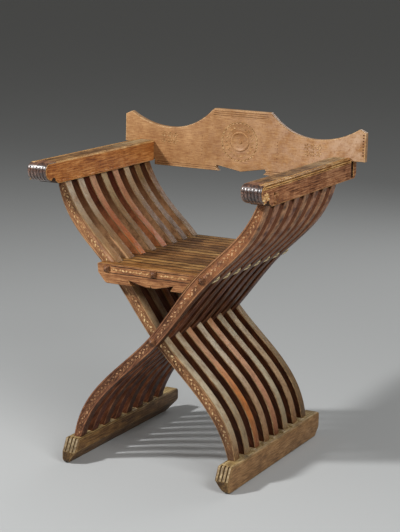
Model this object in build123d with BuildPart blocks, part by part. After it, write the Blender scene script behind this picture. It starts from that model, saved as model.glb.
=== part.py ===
from build123d import *
import math
import os

# Savonarola chair: two frames of S-curved staves cross on one long rod and lie in alternate
# layers, front to back.  The right frame carries the right arm and the left foot rail, the left
# frame the left arm and the right foot rail.  Seat slats hinge on three more rods, and a carved
# back board drops into a slot near the rear end of each arm.
# Origin: centre of the chair on the floor.  +X to the right arm, -Y to the front, +Z up.

os.makedirs("parts", exist_ok=True)

# ---------------------------------------------------------------- layers of staves and slats
stave_count = 8  # staves in each frame
layer_pitch = 27.5
layer_gap = 0.4  # air between neighbouring layers
layer_count = 2 * stave_count
stave_thickness = layer_pitch - layer_gap
stack_depth = layer_count * layer_pitch

# ---------------------------------------------------------------- depth, front to back
arm_front_overhang = 72.0  # of the arm's nose before the foremost stave
arm_back_overhang = 41.0
foot_front_overhang = 31.0
foot_back_overhang = 54.0
board_stack_gap = 6.0  # from the rearmost stave to the back board's slot
overall_depth = arm_front_overhang + stack_depth + foot_back_overhang
arm_front = -overall_depth / 2
stack_front = arm_front + arm_front_overhang
stack_back = stack_front + stack_depth
arm_back = stack_back + arm_back_overhang
foot_front = stack_front - foot_front_overhang
foot_back = stack_back + foot_back_overhang
slot_front = stack_back + board_stack_gap

# ---------------------------------------------------------------- rods
rod_radius = 5.0
rod_clearance = 0.1  # round a rod where the wood turns on it
head_width = 15.0
head_base = 2.5
head_rise = 6.5
head_taper = 45.0
head_gap = 0.3  # between a head and the wood that turns under it
cap_socket_depth = 6.0
turning_radius = rod_radius + rod_clearance
crossing_height = 318.5
seat_height = 477.0
seat_half = 121.7  # from the middle seat rod to each side rod

# ---------------------------------------------------------------- arms
arm_inner = 243.5
arm_width = 50.0
arm_bottom = 665.0
arm_top = 716.5
arm_outer = arm_inner + arm_width
arm_edge_bevel = 3.0
nose_length = 38.0  # the scrolled nose in front of the underside notch
nose_top_drop = 17.0
nose_chin_rise = 6.0
chin_notch_height = 11.0
chin_notch_width = 19.0
nose_round = 7.0
nose_flute_count = 5  # upright flutes round the front of the nose
nose_flute_width = 2.2
nose_flute_depth = 1.2

# ---------------------------------------------------------------- foot rails
foot_inner = 182.0
foot_width = 37.0
foot_height = 60.0
toe_slope_back = 17.0  # the toes lie on a slope at the upper front corner
toe_slope_drop = 31.0
toe_slope_round = 5.0
toe_bottom_round = 15.0
heel_top_round = 8.0
heel_bottom_cut = 24.0
foot_edge_bevel = 2.5
toe_groove_count = 3
toe_groove_width = 3.0
toe_groove_depth = 3.0
toe_length = 26.0

# ---------------------------------------------------------------- stave shape, right frame
# Points that a stave's centre line passes, as X and height, with the stave's width there.
arm_joint_x = 262.0
foot_joint_x = 194.0
elbow_x = 213.0
elbow_height = 570.0
knee_x = -165.0
knee_height = 140.0
foot_width_of_stave = 16.5
knee_width = 25.5
crossing_width = 26.0
seat_width_of_stave = 32.0
elbow_width = 30.0
arm_width_of_stave = 17.0
foot_lean = 72.0  # degrees from level, at the foot rail
arm_lean = 72.0  # degrees from level, under the arm
root_length = 14.0  # the outline runs this far into rail and arm before it is cut to its shoulder
tenon_width = 11.0
tenon_thickness = 15.0
tenon_length = 20.0
mortise_clearance = 0.2
mortise_end_gap = 1.0
border_inset = 3.2  # incised border line on the front stave
border_width = 1.2
border_depth = 0.8

# ---------------------------------------------------------------- seat
slat_height = 22.0
slat_overhang = 19.0  # beyond the side rod
slat_end_gap = 0.6  # to the inner edge of the stave in the same layer
slat_end_round = 2.5
slat_end_cut = 8.5  # across the lower corner of a free end
rod_wander = 34.0  # of the right rod along the right slats while the chair folds
apron_drop = 34.5  # lower edge of the apron below the rods
apron_end_overhang = 25.5
apron_end_cut = 21.0
apron_ornament_x = -7.0
apron_hook_half = 50.5
apron_notch_half = 58.0
apron_notch_rise = 12.5
apron_point_half = 14.0
apron_point_rise = 1.5
apron_point_notch = 3.5
apron_point_notch_rise = 6.0

# ---------------------------------------------------------------- back board
board_thickness = 15.6
board_slot_clearance = 0.45
board_seat_gap = 0.3  # above the slot floor
slot_floor_thickness = 5.0
slot_open_share = 0.5  # inner share of the arm where the slot has no floor
board_side_gap = 1.2  # between the board's deep middle and the arms
board_neck_inset = 9.0  # of the board's end in the slot, behind the arm's outer face
ear_width = 33.5  # beyond the arm's outer face
ear_tip_inset = 17.0  # from the ear's outer side
board_bottom = 654.0
ear_bottom = 708.5
ear_corner = 778.5
ear_tip = 786.0
hollow_x = 199.0
hollow_height = 753.0
crest_half = 84.0
crest_shoulder = 802.5
crest_flat_half = 76.5
crest_height = 809.0
hook_tip_half = 61.5
hook_back_half = 69.0
hook_back_height = 662.0
hook_root_half = 66.0
hook_root_height = 668.0
centre_point_height = 656.5
board_bevel = 1.2
roundel_x = -5.0
roundel_height = 731.0
roundel_inner = 26.0
roundel_outer = 49.0
roundel_groove = 2.4
roundel_depth = 1.4
slot_width = board_thickness + 2 * board_slot_clearance
slot_floor = arm_bottom + slot_floor_thickness
board_back = slot_front + board_slot_clearance + board_thickness
neck_bottom = slot_floor + board_seat_gap


# ---------------------------------------------------------------- shared shapes
def front_plane(y):
    """An upright plane at depth y that faces the front: local x is X and local y is height."""
    return Plane.XZ.offset(-y)


def layer_back(layer):
    """Depth of the back face of a layer, counted from 0 at the front."""
    return stack_front + (layer + 1) * layer_pitch - layer_gap / 2


def layer_centre(layer):
    return stack_front + (layer + 0.5) * layer_pitch


right_layers = range(0, layer_count, 2)  # right-frame staves and left seat slats
left_layers = range(1, layer_count, 2)  # left-frame staves and right seat slats

foot_direction = Vector(math.cos(math.radians(foot_lean)), math.sin(math.radians(foot_lean)))
arm_direction = Vector(math.cos(math.radians(arm_lean)), math.sin(math.radians(arm_lean)))
foot_joint = Vector(-foot_joint_x, foot_height)
arm_joint = Vector(arm_joint_x, arm_bottom)
crossing_point = Vector(0, crossing_height)
seat_point = Vector(seat_half, seat_height)
stave_points = [
    (foot_joint - foot_direction * root_length, foot_width_of_stave),
    (Vector(knee_x, knee_height), knee_width),
    (crossing_point, crossing_width),
    (seat_point, seat_width_of_stave),
    (Vector(elbow_x, elbow_height), elbow_width),
    (arm_joint + arm_direction * root_length, arm_width_of_stave),
]
stave_curve = Spline(
    *[point for point, width in stave_points], tangents=[foot_direction, arm_direction]
)


def stave_edge(side, grown):
    """Points of one long edge of a stave, side +1 for the upper edge and -1 for the lower one."""
    edge_points = []
    for point, width in stave_points:
        along = stave_curve.tangent_at(stave_curve.param_at_point(point))
        across = Vector(-along.Y, along.X)
        edge_points.append(point + across * side * (width / 2 + grown))
    return edge_points


def stave_outline(grown=0.0):
    """Face of a right-frame stave between foot rail and arm, grown by a margin all along."""
    with BuildSketch() as outline:
        with BuildLine():
            upper = Spline(*stave_edge(1, grown))
            lower = Spline(*stave_edge(-1, grown))
            Line(upper @ 0, lower @ 0)
            Line(upper @ 1, lower @ 1)
        make_face()
        with Locations((0, (foot_height + arm_bottom) / 2)):
            Rectangle(2 * arm_outer, arm_bottom - foot_height, mode=Mode.INTERSECT)
    return outline.sketch


def mirrored(face):
    """The same face on the other side of the chair's middle plane."""
    return mirror(face, about=Plane.YZ)


stave_face = stave_outline()
stave_room = stave_outline(slat_end_gap)
border_outside = stave_outline(-border_inset)
border_inside = stave_outline(-border_inset - border_width)


def make_stave(name, side, layer):
    """A stave of the right frame (side +1) or of the left frame (side -1)."""
    face = stave_face if side > 0 else mirrored(stave_face)
    with BuildPart() as stave:
        with BuildSketch(front_plane(layer_back(layer))):
            add(face)
            with Locations((0, crossing_height)):
                Circle(turning_radius, mode=Mode.SUBTRACT)
            with Locations((side * seat_half, seat_height)):
                Circle(rod_radius, mode=Mode.SUBTRACT)
        extrude(amount=stave_thickness)
        with BuildSketch(front_plane(layer_centre(layer) + tenon_thickness / 2)):
            with Locations((side * arm_joint_x, arm_bottom)):
                Rectangle(tenon_width, tenon_length, align=(Align.CENTER, Align.MIN))
            with Locations((-side * foot_joint_x, foot_height)):
                Rectangle(tenon_width, tenon_length, align=(Align.CENTER, Align.MAX))
        extrude(amount=tenon_thickness)
        if side > 0 and layer == 0:
            with BuildSketch(front_plane(layer_back(layer) - stave_thickness + border_depth)):
                add(border_outside)
                add(border_inside, mode=Mode.SUBTRACT)
                with Locations(crossing_point, seat_point):
                    Rectangle(head_width, head_width, mode=Mode.SUBTRACT)
            extrude(amount=border_depth, mode=Mode.SUBTRACT)
    stave.part.label = name
    export_step(stave.part, f"parts/{name}.step")


# ---------------------------------------------------------------- the two frames
for number, layer in enumerate(right_layers, start=1):
    make_stave(f"right_stave_{number}", 1, layer)
for number, layer in enumerate(left_layers, start=1):
    make_stave(f"left_stave_{number}", -1, layer)


def arm_side_view(inset=0.0):
    """Side outline of an arm: a rounded nose with a chin and a notch behind it.
    The nose may be drawn smaller by an inset, for the bottom of its flutes."""
    front = arm_front + inset
    top_height = arm_top - inset
    with BuildSketch() as view:
        with BuildLine():
            top = Line((arm_back, top_height), (front + nose_top_drop, top_height))
            brow = TangentArc(top @ 1, (front, top_height - nose_top_drop), tangent=(-1, 0))
            chin_point = (notch_front - nose_round, arm_bottom + nose_chin_rise + inset)
            Spline(brow @ 1, chin_point, tangents=[(0, -1), (1, -0.3)])
            Polyline(
                chin_point,
                (notch_front, arm_bottom + chin_notch_height),
                (notch_front + chin_notch_width, arm_bottom),
                (arm_back, arm_bottom),
                (arm_back, top_height),
            )
        make_face()
    return view.sketch


notch_front = arm_front + nose_length
arm_face = arm_side_view()
flute_bottom = arm_side_view(nose_flute_depth)


def make_arm(name, side, layers):
    """An arm over the stave tenons of the given layers, with its nose and its board slot."""
    inner_face = arm_inner if side > 0 else -arm_outer
    flute_pitch = arm_width / (nose_flute_count + 1)
    with BuildPart() as arm:
        with BuildSketch(Plane.YZ.offset(inner_face)):
            add(arm_face)
        extrude(amount=arm_width)
        chamfer(arm.edges().filter_by(Axis.Y).group_by(Axis.Z)[-1], arm_edge_bevel)
        for flute in range(1, nose_flute_count + 1):
            flute_x = inner_face + flute * flute_pitch - nose_flute_width / 2
            with BuildSketch(Plane.YZ.offset(flute_x)):
                with Locations((arm_front, arm_bottom)):
                    Rectangle(
                        nose_length / 2,
                        arm_top - nose_top_drop / 2 - arm_bottom,
                        align=(Align.MIN, Align.MIN),
                    )
                add(flute_bottom, mode=Mode.SUBTRACT)
            extrude(amount=nose_flute_width, mode=Mode.SUBTRACT)
        with BuildSketch(Plane.XY.offset(slot_floor)):
            with Locations((inner_face, slot_front)):
                Rectangle(arm_width, slot_width, align=(Align.MIN, Align.MIN))
        extrude(amount=arm_top - slot_floor, mode=Mode.SUBTRACT)
        with BuildSketch(Plane.XY.offset(arm_bottom)):
            with Locations((side * arm_inner, slot_front)):
                open_align = Align.MIN if side > 0 else Align.MAX
                Rectangle(arm_width * slot_open_share, slot_width, align=(open_align, Align.MIN))
        extrude(amount=slot_floor_thickness, mode=Mode.SUBTRACT)
        with BuildSketch(Plane.XY.offset(arm_bottom)):
            with Locations([(side * arm_joint_x, layer_centre(layer)) for layer in layers]):
                Rectangle(tenon_width + 2 * mortise_clearance, tenon_thickness + 2 * mortise_clearance)
        extrude(amount=tenon_length + mortise_end_gap, mode=Mode.SUBTRACT)
    arm.part.label = name
    export_step(arm.part, f"parts/{name}.step")


make_arm("right_arm", 1, right_layers)
make_arm("left_arm", -1, left_layers)


def foot_side_view():
    """Side outline of a foot rail: a rounded paw in front and an undercut heel."""
    with BuildSketch() as view:
        with BuildLine():
            Polyline(
                (foot_front, 0),
                (foot_back - heel_bottom_cut, 0),
                (foot_back, heel_bottom_cut),
                (foot_back, foot_height),
                (foot_front + toe_slope_back, foot_height),
                (foot_front, foot_height - toe_slope_drop),
                close=True,
            )
        make_face()
        fillet(view.vertices().group_by(Axis.X)[0].sort_by(Axis.Y)[0], toe_bottom_round)
        fillet(view.vertices().group_by(Axis.X)[0].sort_by(Axis.Y)[-1], toe_slope_round)
        fillet(view.vertices().group_by(Axis.X)[-1].sort_by(Axis.Y)[-1], heel_top_round)
    return view.sketch


foot_face = foot_side_view()
foot_face_inset = offset(foot_face, amount=-toe_groove_depth)


def make_foot_rail(name, side, layers):
    """A foot rail under the stave tenons of the given layers, its front carved as a paw."""
    inner_face = foot_inner if side > 0 else -foot_inner - foot_width
    groove_pitch = foot_width / (toe_groove_count + 1)
    with BuildPart() as rail:
        with BuildSketch(Plane.YZ.offset(inner_face)):
            add(foot_face)
        extrude(amount=foot_width)
        chamfer(rail.edges().filter_by(Axis.Y), foot_edge_bevel)
        for groove in range(1, toe_groove_count + 1):
            groove_x = inner_face + groove * groove_pitch - toe_groove_width / 2
            with BuildSketch(Plane.YZ.offset(groove_x)):
                with Locations((foot_front, foot_height)):
                    Rectangle(toe_length, toe_slope_drop, align=(Align.MIN, Align.MAX))
                add(foot_face_inset, mode=Mode.SUBTRACT)
            extrude(amount=toe_groove_width, mode=Mode.SUBTRACT)
        with BuildSketch(Plane.XY.offset(foot_height)):
            with Locations([(side * foot_joint_x, layer_centre(layer)) for layer in layers]):
                Rectangle(tenon_width + 2 * mortise_clearance, tenon_thickness + 2 * mortise_clearance)
        extrude(amount=-tenon_length - mortise_end_gap, mode=Mode.SUBTRACT)
    rail.part.label = name
    export_step(rail.part, f"parts/{name}.step")


make_foot_rail("left_foot_rail", -1, right_layers)
make_foot_rail("right_foot_rail", 1, left_layers)

# ---------------------------------------------------------------- seat
slat_top = seat_height + slat_height / 2
slat_bottom = seat_height - slat_height / 2


def make_left_slat(name, layer):
    """A seat slat that hinges on the left rod and ends at a right-frame stave."""
    with BuildPart() as slat:
        with BuildSketch(front_plane(layer_back(layer))):
            with Locations((-slat_overhang / 2, seat_height)):
                Rectangle(2 * seat_half + slat_overhang, slat_height)
            add(stave_room, mode=Mode.SUBTRACT)
            with Locations((-seat_half, seat_height)):
                Circle(turning_radius, mode=Mode.SUBTRACT)
            with Locations((0, seat_height)):
                Circle(rod_radius, mode=Mode.SUBTRACT)
        extrude(amount=stave_thickness)
        end_corners = slat.edges().filter_by(Axis.Y).group_by(Axis.X)[0].sort_by(Axis.Z)
        chamfer(end_corners[0], slat_end_cut)
        chamfer(end_corners[-1], slat_end_round)
    slat.part.label = name
    export_step(slat.part, f"parts/{name}.step")


def make_right_slat(name, layer):
    """A seat slat on the middle rod.  It ends at a left-frame stave and, with an open notch,
    straddles the right rod, which leaves the notch downwards while the chair folds."""
    with BuildPart() as slat:
        with BuildSketch(front_plane(layer_back(layer))):
            with Locations((slat_overhang / 2, seat_height)):
                Rectangle(2 * seat_half + slat_overhang, slat_height)
            add(mirrored(stave_room), mode=Mode.SUBTRACT)
            with Locations((0, seat_height)):
                Circle(turning_radius, mode=Mode.SUBTRACT)
            with Locations((seat_half + turning_radius, seat_height + turning_radius)):
                RectangleRounded(
                    rod_wander + 2 * turning_radius,
                    2 * slat_height,
                    turning_radius - rod_clearance / 2,
                    align=(Align.MAX, Align.MAX),
                    mode=Mode.SUBTRACT,
                )
        extrude(amount=stave_thickness)
        end_corners = slat.edges().filter_by(Axis.Y).group_by(Axis.X)[-1].sort_by(Axis.Z)
        chamfer(end_corners[0], slat_end_cut)
        chamfer(end_corners[-1], slat_end_round)
    slat.part.label = name
    export_step(slat.part, f"parts/{name}.step")


for number, layer in enumerate(list(right_layers)[1:], start=1):
    make_left_slat(f"left_seat_slat_{number}", layer)
for number, layer in enumerate(left_layers, start=1):
    make_right_slat(f"right_seat_slat_{number}", layer)


def make_apron():
    """The foremost seat slat: deeper than the others, its lower edge cut with hooks and a point."""
    apron_bottom = seat_height - apron_drop
    left_end = -seat_half - apron_end_overhang
    along = stave_curve.tangent_at(stave_curve.param_at_point(seat_point))
    lean = along.X / along.Y
    inside_stave_top = seat_half + lean * (slat_top - seat_height)
    inside_stave_bottom = seat_half - lean * apron_drop
    notch_top = apron_bottom + apron_notch_rise
    point = apron_bottom + apron_point_rise
    with BuildPart() as apron:
        with BuildSketch(front_plane(layer_back(0))):
            with BuildLine():
                Polyline(
                    (inside_stave_top, slat_top),
                    (left_end + slat_end_round, slat_top),
                    (left_end, slat_top - slat_end_round),
                    (left_end + slat_end_round, slat_bottom),
                    (left_end + apron_end_cut, apron_bottom + slat_end_round),
                    (left_end + apron_end_cut + 2 * slat_end_round, apron_bottom),
                    (apron_ornament_x - apron_hook_half, apron_bottom),
                    (apron_ornament_x - apron_notch_half, notch_top),
                    (apron_ornament_x - apron_point_half, point),
                    (apron_ornament_x - apron_point_notch / 2, point),
                    (apron_ornament_x, point + apron_point_notch_rise),
                    (apron_ornament_x + apron_point_notch / 2, point),
                    (apron_ornament_x + apron_point_half, point),
                    (apron_ornament_x + apron_notch_half, notch_top),
                    (apron_ornament_x + apron_hook_half, apron_bottom),
                    (inside_stave_bottom, apron_bottom),
                    close=True,
                )
            make_face()
            add(stave_room, mode=Mode.SUBTRACT)
            with Locations((-seat_half, seat_height)):
                Circle(turning_radius, mode=Mode.SUBTRACT)
            with Locations((0, seat_height)):
                Circle(rod_radius, mode=Mode.SUBTRACT)
        extrude(amount=stave_thickness)
    apron.part.label = "seat_apron"
    export_step(apron.part, "parts/seat_apron.step")


make_apron()


# ---------------------------------------------------------------- rods and their heads
def make_rod(name, x, height):
    """A long rod with a faceted head in front; its rear end stands in a cap of the same shape."""
    head_back = stack_front - head_gap
    cap_front = stack_back + head_gap
    with BuildPart() as rod:
        with BuildSketch(front_plane(cap_front + cap_socket_depth)):
            with Locations((x, height)):
                Circle(rod_radius)
        extrude(amount=cap_front + cap_socket_depth - head_back)
        with BuildSketch(front_plane(head_back)):
            with Locations((x, height)):
                Rectangle(head_width, head_width)
        extrude(amount=head_base)
        with BuildSketch(front_plane(head_back - head_base)):
            with Locations((x, height)):
                Rectangle(head_width, head_width)
        extrude(amount=head_rise, taper=head_taper)
    rod.part.label = name
    export_step(rod.part, f"parts/{name}.step")
    with BuildPart() as cap:
        with BuildSketch(front_plane(cap_front + head_base)):
            with Locations((x, height)):
                Rectangle(head_width, head_width)
        extrude(amount=head_base)
        with BuildSketch(front_plane(cap_front + head_base)):
            with Locations((x, height)):
                Rectangle(head_width, head_width)
        extrude(amount=-head_rise, taper=head_taper)
        with BuildSketch(front_plane(cap_front + cap_socket_depth)):
            with Locations((x, height)):
                Circle(rod_radius)
        extrude(amount=cap_socket_depth, mode=Mode.SUBTRACT)
    cap.part.label = f"{name}_cap"
    export_step(cap.part, f"parts/{name}_cap.step")


make_rod("crossing_rod", 0, crossing_height)
make_rod("left_seat_rod", -seat_half, seat_height)
make_rod("middle_seat_rod", 0, seat_height)
make_rod("right_seat_rod", seat_half, seat_height)


# ---------------------------------------------------------------- back board
def make_back_board():
    """The removable board: two ears over the arms, a raised crest and a hooked lower edge."""
    deep_half = arm_inner - board_side_gap
    neck_half = arm_outer - board_neck_inset
    board_half = arm_outer + ear_width
    ear_tip_x = board_half - ear_tip_inset
    with BuildPart() as board:
        with BuildSketch(front_plane(board_back)):
            with BuildLine():
                Polyline(
                    (0, centre_point_height),
                    (hook_root_half, hook_root_height),
                    (hook_back_half, hook_back_height),
                    (hook_tip_half, board_bottom),
                    (deep_half, board_bottom),
                    (deep_half, neck_bottom),
                    (neck_half, neck_bottom),
                    (neck_half, ear_bottom),
                    (board_half, ear_bottom),
                    (board_half, ear_corner),
                    (ear_tip_x, ear_tip),
                )
                low_point = (hollow_x, hollow_height)
                TangentArc(low_point, (ear_tip_x, ear_tip), tangent=(1, 0))
                TangentArc(low_point, (crest_half, crest_shoulder), tangent=(-1, 0))
                Polyline(
                    (crest_half, crest_shoulder),
                    (crest_flat_half, crest_height),
                    (0, crest_height),
                    (0, centre_point_height),
                )
            make_face()
            mirror(about=Plane.YZ)
        extrude(amount=board_thickness)
        front_edges = board.faces().sort_by(Axis.Y)[0].outer_wire().edges()
        chamfer(front_edges, board_bevel)
        with BuildSketch(front_plane(board_back - board_thickness + roundel_depth)):
            with Locations((roundel_x, roundel_height)):
                for radius in (roundel_outer, roundel_inner):
                    Circle(radius)
                    Circle(radius - roundel_groove, mode=Mode.SUBTRACT)
        extrude(amount=roundel_depth, mode=Mode.SUBTRACT)
    board.part.label = "back_board"
    export_step(board.part, "parts/back_board.step")


make_back_board()
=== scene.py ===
import math

import bpy
from mathutils import Matrix, Vector


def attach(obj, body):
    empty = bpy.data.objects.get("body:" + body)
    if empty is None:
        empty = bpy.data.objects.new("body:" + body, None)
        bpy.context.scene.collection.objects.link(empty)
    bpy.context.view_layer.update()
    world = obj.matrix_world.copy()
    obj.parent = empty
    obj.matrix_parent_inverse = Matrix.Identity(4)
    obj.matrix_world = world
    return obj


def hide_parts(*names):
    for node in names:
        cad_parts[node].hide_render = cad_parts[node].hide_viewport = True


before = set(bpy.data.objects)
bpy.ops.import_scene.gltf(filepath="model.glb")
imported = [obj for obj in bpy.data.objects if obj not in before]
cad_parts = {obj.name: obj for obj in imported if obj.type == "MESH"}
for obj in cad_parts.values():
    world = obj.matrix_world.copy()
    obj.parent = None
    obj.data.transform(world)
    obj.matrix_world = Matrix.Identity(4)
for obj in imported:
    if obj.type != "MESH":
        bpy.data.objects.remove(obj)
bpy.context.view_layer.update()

# Savonarola chair: the wood finishes, the softened and worn edges and the carving of the packed
# chair.  Metres, +X to the right arm, -Y to the front, +Z up.


# ---------------------------------------------------------------- small helpers
def mm(value):
    """Millimetres as the metres that Blender works in."""
    return value / 1000


def sign_of(side):
    """The right side lies towards +X."""
    return 1 if side == "right" else -1


def linear(colour):
    """An sRGB colour written as hex, as the linear RGBA that a shader socket takes."""
    channels = [int(colour[i : i + 2], 16) / 255 for i in (1, 3, 5)]
    bent = [c / 12.92 if c <= 0.04045 else ((c + 0.055) / 1.055) ** 2.4 for c in channels]
    return (*bent, 1.0)


def per_mm(size):
    """Scale of a texture whose features are about this many millimetres wide."""
    return 1000 / size


def put(tree, kind, inputs=None, **settings):
    """Adds a node.  inputs maps a socket to a value or to the output that feeds it."""
    node = tree.nodes.new(kind)
    for name, value in settings.items():
        setattr(node, name, value)
    for socket, value in (inputs or {}).items():
        if isinstance(value, bpy.types.NodeSocket):
            tree.links.new(value, node.inputs[socket])
        else:
            node.inputs[socket].default_value = value
    return node


def ramp(tree, factor, stops):
    """A colour ramp through (position, hex colour) stops."""
    node = put(tree, "ShaderNodeValToRGB", {"Fac": factor})
    elements = node.color_ramp.elements
    elements[0].position, elements[1].position = stops[0][0], stops[-1][0]
    elements[0].color, elements[1].color = linear(stops[0][1]), linear(stops[-1][1])
    for position, colour in stops[1:-1]:
        elements.new(position).color = linear(colour)
    return node.outputs["Color"]


def new_material(name):
    """A material with an empty node tree."""
    material = bpy.data.materials.new(name)
    material.use_nodes = True
    material.node_tree.nodes.clear()
    return material


def mix_colour(tree, factor, a, b):
    """Colour a with as much of colour b over it as the factor says.  The node has sockets of other
    kinds with the same names, so its colour sockets go by number."""
    return put(tree, "ShaderNodeMix", {0: factor, 6: a, 7: b}, data_type="RGBA").outputs[2]


# ---------------------------------------------------------------- wood
# Sizes in mm of what marks the wood: stains from handling, patches of a tint, dark flecks and open
# pores.  Real flecks and pores are under half as wide and are drawn coarser here so that they show.
STAIN_SIZE, PATCH_SIZE, FLECK_SIZE, PORE_SIZE = 45, 22, 3.2, 0.9
# Shares of the streaks and of the stains in how dark or light the wood is at a point.
STREAK_SHARE, STAIN_SHARE = 0.65, 0.35
# Tints of use and age, and in places painted light and shade, as an axis and (metres, colour, how
# much) stops.
AXIS_START = {"X": -0.5, "Y": -0.5, "Z": 0.0}
ABOVE_THE_SEAT = [(0.44, 0.0), (0.52, 0.35), (0.58, 0.8), (0.65, 1.0)]
# How a tint covers the wood: the noise values between which it goes from nothing to full.
PATCHY = (0.36, 0.62)
EVEN = (0.18, 0.58)


def tint(axis, colour, amounts):
    """A tint of one colour that comes and goes along an axis."""
    return axis, [(metres, colour, amount) for metres, amount in amounts]


def walnut(
    name,
    dark,
    middle,
    light,
    grain=(0.0, 0.0, 0.0),
    roughness=0.5,
    streak=2.6,
    tinted=None,
    cover=PATCHY,
    wax=0.3,
    coat=0.0,
):
    """Old hand-finished walnut: streaks along the grain, broad stains from handling and age, dark
    flecks, fine open pores, and a thin uneven wax.  grain turns the texture so that its X runs with
    the grain; streak is the width of a streak in mm, coarser than real grain so that it shows.
    tinted is a tint() of the bare wood, and cover says how evenly it lies: in patches or all over.
    wax is how much the surface mirrors: little on dry wood, 0.5 where hands polished it.
    coat is a clear shellac polish on top of the wood."""
    material = new_material(name)
    tree = material.node_tree
    place = put(tree, "ShaderNodeTexCoord").outputs["Object"]
    turned = put(
        tree,
        "ShaderNodeMapping",
        {"Vector": place, "Rotation": tuple(math.radians(a) for a in grain)},
    ).outputs["Vector"]
    stretched = put(
        tree, "ShaderNodeMapping", {"Vector": turned, "Scale": (0.05, 1.0, 1.0)}
    ).outputs["Vector"]
    streaks = put(
        tree,
        "ShaderNodeTexNoise",
        {"Vector": stretched, "Scale": per_mm(streak), "Detail": 4.0, "Roughness": 0.65},
    ).outputs["Fac"]
    stains = put(
        tree,
        "ShaderNodeTexNoise",
        {"Vector": turned, "Scale": per_mm(STAIN_SIZE), "Detail": 4.0, "Roughness": 0.65},
    ).outputs["Fac"]
    weak_stains = put(
        tree, "ShaderNodeMath", {0: stains, 1: STAIN_SHARE}, operation="MULTIPLY"
    ).outputs["Value"]
    depth = put(
        tree,
        "ShaderNodeMath",
        {0: streaks, 1: STREAK_SHARE, 2: weak_stains},
        operation="MULTIPLY_ADD",
    ).outputs["Value"]
    colour = ramp(tree, depth, [(0.39, dark), (0.5, middle), (0.61, light)])
    if tinted:
        axis, stops = tinted
        bloom = put(
            tree,
            "ShaderNodeTexNoise",
            {"Vector": turned, "Scale": per_mm(PATCH_SIZE), "Detail": 5.0, "Roughness": 0.7},
        ).outputs["Fac"]
        patch = put(
            tree,
            "ShaderNodeMapRange",
            {"Value": bloom, "From Min": cover[0], "From Max": cover[1], "To Min": 0.0,
             "To Max": 0.85},
        ).outputs["Result"]
        along = put(tree, "ShaderNodeSeparateXYZ", {"Vector": place}).outputs[axis]
        from_start = put(
            tree, "ShaderNodeMath", {0: along, 1: AXIS_START[axis]}, operation="SUBTRACT"
        ).outputs["Value"]
        band = put(tree, "ShaderNodeValToRGB", {"Fac": from_start})
        elements = band.color_ramp.elements
        for index, (metres, tone, amount) in enumerate(stops):
            at = metres - AXIS_START[axis]
            stop = elements[index] if index < 2 else elements.new(at)
            stop.position, stop.color = at, (*linear(tone)[:3], amount)
        patch = put(
            tree, "ShaderNodeMath", {0: patch, 1: band.outputs["Alpha"]}, operation="MULTIPLY"
        ).outputs["Value"]
        colour = mix_colour(tree, patch, colour, band.outputs["Color"])
    flecks = put(
        tree,
        "ShaderNodeTexNoise",
        {"Vector": turned, "Scale": per_mm(FLECK_SIZE), "Detail": 2.0, "Roughness": 0.5},
    ).outputs["Fac"]
    speck = put(
        tree,
        "ShaderNodeMapRange",
        {"Value": flecks, "From Min": 0.6, "From Max": 0.7, "To Min": 0.0, "To Max": 0.55},
    ).outputs["Result"]
    colour = mix_colour(tree, speck, colour, linear(dark))
    pores = put(
        tree,
        "ShaderNodeTexNoise",
        {"Vector": stretched, "Scale": per_mm(PORE_SIZE), "Detail": 2.0, "Roughness": 0.6},
    ).outputs["Fac"]
    shine = put(
        tree,
        "ShaderNodeMapRange",
        {"Value": streaks, "From Min": 0.3, "From Max": 0.7, "To Min": roughness + 0.1,
         "To Max": roughness - 0.08},
    ).outputs["Result"]
    relief = put(
        tree, "ShaderNodeMath", {0: streaks, 1: pores}, operation="ADD"
    ).outputs["Value"]
    bump = put(
        tree, "ShaderNodeBump", {"Height": relief, "Strength": 0.4, "Distance": mm(0.4)}
    ).outputs["Normal"]
    shader = put(
        tree,
        "ShaderNodeBsdfPrincipled",
        {"Base Color": colour, "Roughness": shine, "Normal": bump, "Specular IOR Level": wax,
         "Coat Weight": coat, "Coat Roughness": 0.28},
    )
    put(tree, "ShaderNodeOutputMaterial", {"Surface": shader.outputs["BSDF"]})
    return material


# Grain of the staves runs from foot to arm; 51 degrees is the lean of a stave's chord.
RIGHT_GRAIN = (0.0, 51.0, 0.0)
LEFT_GRAIN = (0.0, -51.0, 0.0)
ALONG_DEPTH = (0.0, 0.0, -90.0)
ALONG_WIDTH = (0.0, 0.0, 0.0)

# Curved edges of the left staves: each stave was cut from other wood and wore to its own tones,
# here from the foot to the arm, warm and rubbed beside the seat.  The pale grey and cream by the
# crossing, midway down the legs and under the arm is painted sheen, a reflection of the lamps.
EDGE_HEIGHTS = (0.07, 0.19, 0.28, 0.49, 0.56, 0.65)
EDGE_TONES_AND_SHEEN = {
    "grey_worn_and_sheen_walnut": ("#785C3A", "#D8CCAE", "#C4B89A", "#A67C50", "#9E8460", "#CCC2AC"),
    "dry_grey_and_sheen_walnut": ("#86785A", "#BEB294", "#CCC2A8", "#A07246", "#9E8462", "#D4CAB4"),
    "orange_heart_walnut": ("#7C4226", "#DE8640", "#D8A882", "#E47C2C", "#B4603C", "#CCA080"),
    "silver_brown_walnut": ("#866240", "#C8AC8C", "#E0D6BC", "#94704A", "#8E724C", "#B4A684"),
    "rosy_walnut": ("#7C482E", "#D89E7C", "#E0AC84", "#D07030", "#AE683C", "#D0A082"),
    "olive_grey_walnut": ("#82765A", "#CEC4A6", "#BCB296", "#543A1E", "#6E5030", "#BEB094"),
    "greyed_and_sheen_brown_walnut": ("#7A583A", "#C4A884", "#C0AE8C", "#543A1E", "#604A2C", "#86724E"),
    "dark_olive_walnut": ("#484030", "#7A6A4C", "#887A58", "#80663E", "#6E5232", "#64462A"),
}
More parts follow.
